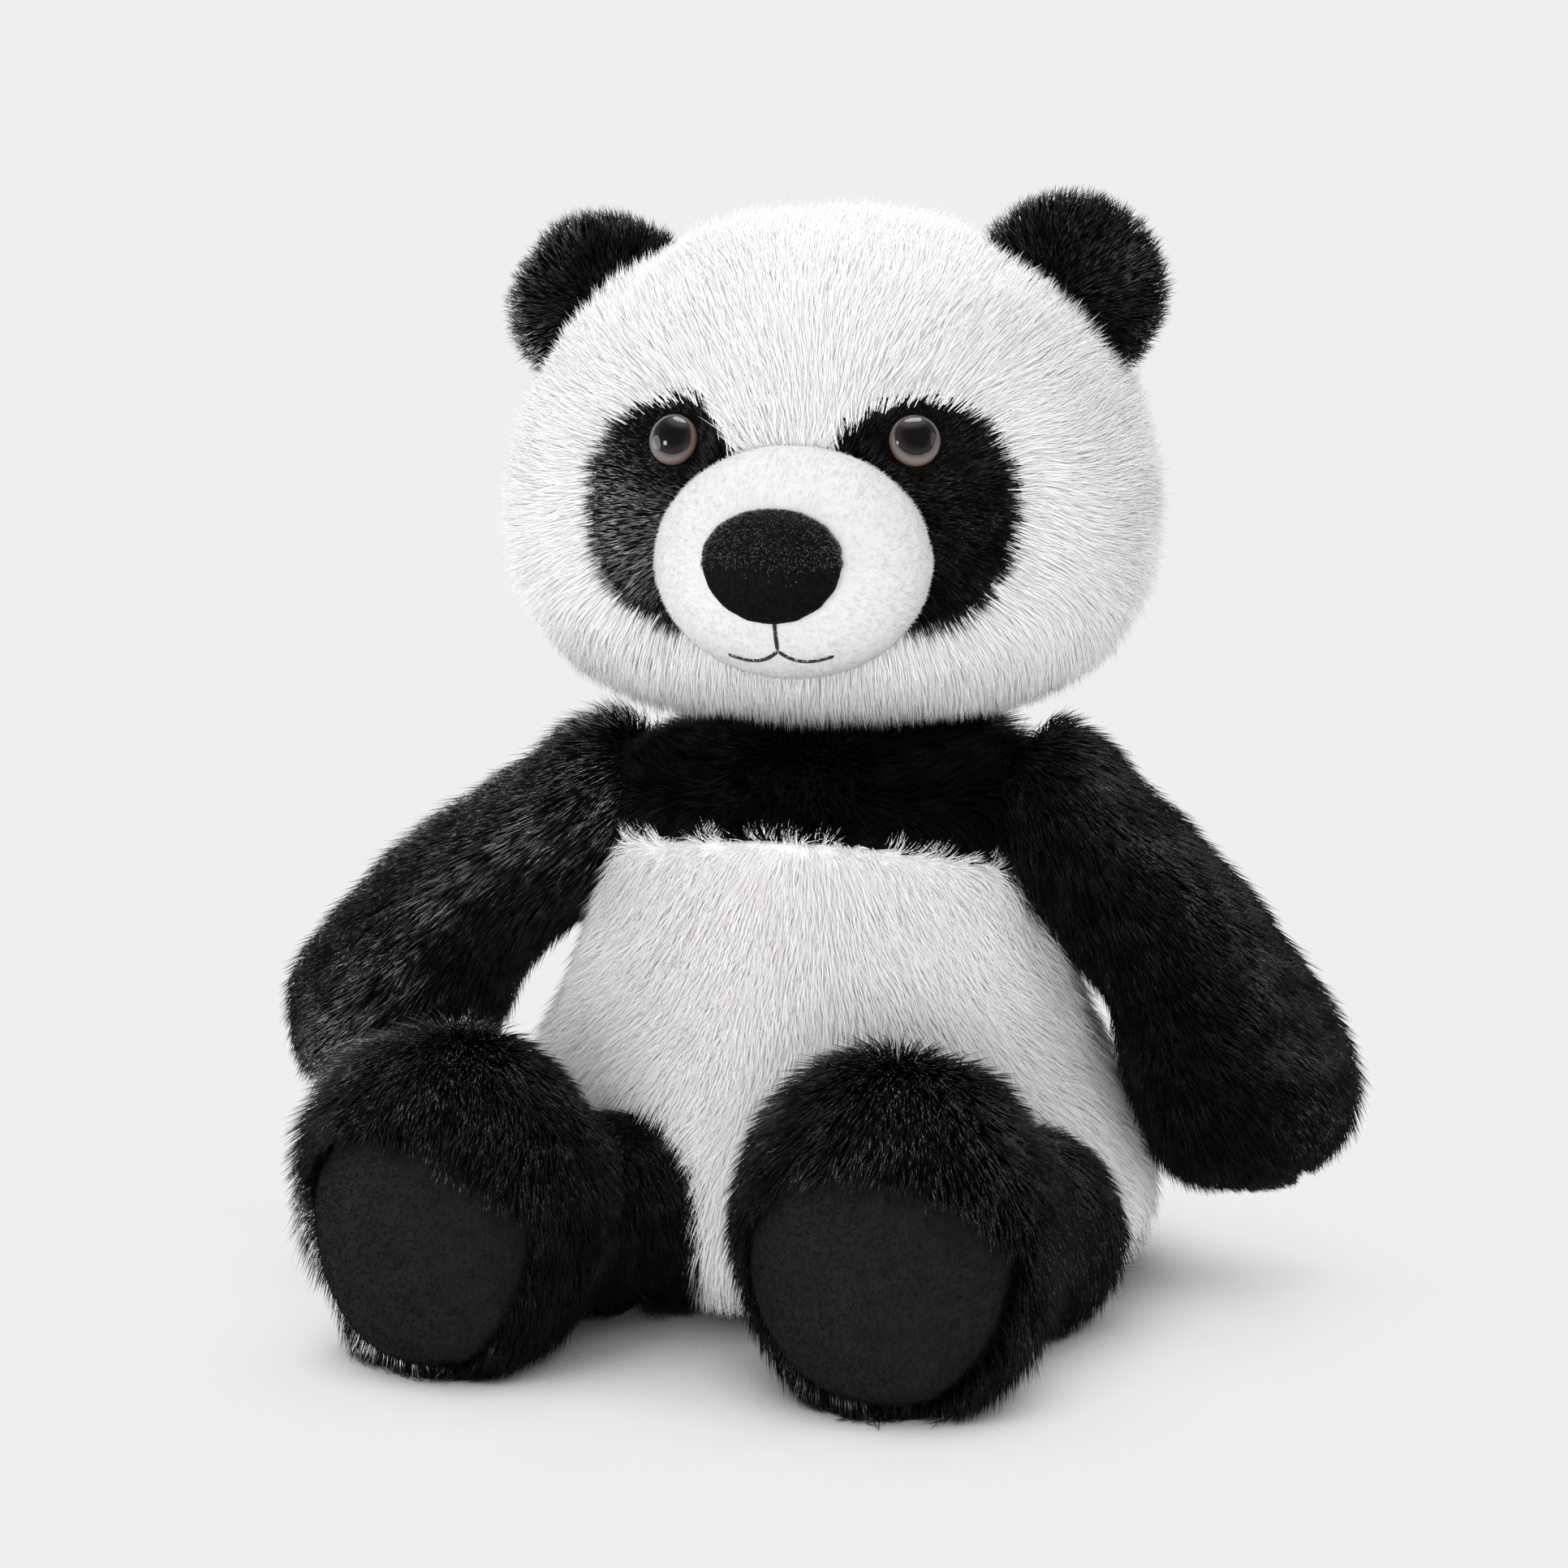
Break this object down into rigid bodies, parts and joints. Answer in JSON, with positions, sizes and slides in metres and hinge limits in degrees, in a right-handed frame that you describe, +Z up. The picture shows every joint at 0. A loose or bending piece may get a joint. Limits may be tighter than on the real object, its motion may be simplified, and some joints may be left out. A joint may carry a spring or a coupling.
{
  "type": "plush panda",
  "caption": "Sitting plush panda with a round head, black ears, eye patches, arms and legs, a white belly, safety eyes, a flocked nose and flat foot soles",
  "frame": {"origin": "on the floor, at the centre of the flat seat panel under the body", "axes": "+Z up, the panda faces -Y, its own left side is +X"},
  "size_m": [0.3447, 0.2613, 0.3367],
  "materials": {
    "white_plush": "long soft pile, brushed outwards, matt with a faint sheen",
    "black_plush": "long soft black pile with a cool sheen on the tips",
    "muzzle_plush": "very short white velour pile",
    "sole_plush": "short black velour pile",
    "nose_flock": "black flocked surface with fine grain",
    "black_thread": "embroidery thread",
    "white_thread": "sewing thread",
    "fibre_filling": "loose white polyester fibre",
    "bag_cloth": "plain woven cotton bag",
    "eye_lens": "clear domed plastic over a grey iris and a black pupil",
    "eye_plastic": "dark brown moulded rim",
    "washer_plastic": "natural white moulded plastic"
  },
  "bodies": {
    "torso": {"chest_yoke_front": "black_plush", "back_yoke": "black_plush", "belly_panel": "white_plush", "back_panel": "white_plush", "seat_panel": "white_plush", "body_stuffing": "fibre_filling", "pellet_bag": "bag_cloth", "closing_seam_thread": "white_thread"},
    "neck_ring": {"neck_seam_thread": "white_thread"},
    "neck": {"neck_filling": "fibre_filling"},
    "head": {"head_front_skin": "white_plush", "head_back_skin": "white_plush", "eye_patch_left": "black_plush", "eye_patch_right": "black_plush", "head_stuffing": "fibre_filling", "muzzle_skin": "muzzle_plush", "muzzle_stuffing": "fibre_filling", "nose": "nose_flock", "nose_washer": "washer_plastic", "mouth_thread": "black_thread", "eye_left_lens": "eye_lens", "eye_left_backing": "eye_plastic", "eye_left_washer": "washer_plastic", "eye_right_lens": "eye_lens", "eye_right_backing": "eye_plastic", "eye_right_washer": "washer_plastic"},
    "ear_left": {"ear_left_front": "black_plush", "ear_left_back": "black_plush"},
    "ear_right": {"ear_right_front": "black_plush", "ear_right_back": "black_plush"},
    "shoulder_left": {"shoulder_left_filling": "fibre_filling"},
    "arm_left": {"arm_left_outer": "black_plush", "arm_left_inner": "black_plush", "arm_left_stuffing": "fibre_filling"},
    "hip_left": {"hip_left_filling": "fibre_filling"},
    "leg_left": {"leg_left_outer": "black_plush", "leg_left_inner": "black_plush", "leg_left_sole": "sole_plush", "leg_left_stuffing": "fibre_filling"},
    "shoulder_right": {"shoulder_right_filling": "fibre_filling"},
    "arm_right": {"arm_right_outer": "black_plush", "arm_right_inner": "black_plush", "arm_right_stuffing": "fibre_filling"},
    "hip_right": {"hip_right_filling": "fibre_filling"},
    "leg_right": {"leg_right_outer": "black_plush", "leg_right_inner": "black_plush", "leg_right_sole": "sole_plush", "leg_right_stuffing": "fibre_filling"}
  },
  "joints": [
    {"name": "head_turn", "type": "hinge", "parent": "torso", "child": "neck_ring", "pos_m": [0, 0, 0.178], "axis": [0, 0, 1], "range_deg": [-35, 35]},
    {"name": "head_nod", "type": "hinge", "parent": "neck_ring", "child": "neck", "pos_m": [0, 0, 0.178], "axis": [0.9992, 0.0401, 0], "range_deg": [-12, 14]},
    {"name": "head_tilt", "type": "hinge", "parent": "neck", "child": "head", "pos_m": [0, 0, 0.178], "axis": [-0.0401, 0.9992, 0], "range_deg": [-10, 10]},
    {"name": "ear_left_fold", "type": "hinge", "parent": "head", "child": "ear_left", "pos_m": [0.07286, 0.00283, 0.30607], "axis": [0.7765, 0.0312, -0.6293], "range_deg": [-20, 20]},
    {"name": "ear_right_fold", "type": "hinge", "parent": "head", "child": "ear_right", "pos_m": [-0.06732, -0.0028, 0.30138], "axis": [0.7065, 0.0284, 0.7071], "range_deg": [-20, 20]},
    {"name": "arm_left_swing", "type": "hinge", "parent": "torso", "child": "shoulder_left", "pos_m": [0.07, 0, 0.148], "axis": [-1, 0, 0], "range_deg": [-40, 95]},
    {"name": "arm_left_lift", "type": "hinge", "parent": "shoulder_left", "child": "arm_left", "pos_m": [0.07, 0, 0.148], "axis": [0, -1, 0], "range_deg": [-2, 60]},
    {"name": "arm_right_swing", "type": "hinge", "parent": "torso", "child": "shoulder_right", "pos_m": [-0.068, 0, 0.1465], "axis": [-1, 0, 0], "range_deg": [-40, 95]},
    {"name": "arm_right_lift", "type": "hinge", "parent": "shoulder_right", "child": "arm_right", "pos_m": [-0.068, 0, 0.1465], "axis": [0, 1, 0], "range_deg": [-2, 50]},
    {"name": "leg_left_swing", "type": "hinge", "parent": "torso", "child": "hip_left", "pos_m": [0.072, -0.06, 0.0298], "axis": [1, 0, 0], "range_deg": [-12, 40]},
    {"name": "leg_left_spread", "type": "hinge", "parent": "hip_left", "child": "leg_left", "pos_m": [0.072, -0.06, 0.0298], "axis": [0, 0, 1], "range_deg": [-8, 20]},
    {"name": "leg_right_swing", "type": "hinge", "parent": "torso", "child": "hip_right", "pos_m": [-0.043, -0.06, 0.0298], "axis": [1, 0, 0], "range_deg": [-12, 40]},
    {"name": "leg_right_spread", "type": "hinge", "parent": "hip_right", "child": "leg_right", "pos_m": [-0.043, -0.06, 0.0298], "axis": [0, 0, -1], "range_deg": [-8, 20]}
  ]
}
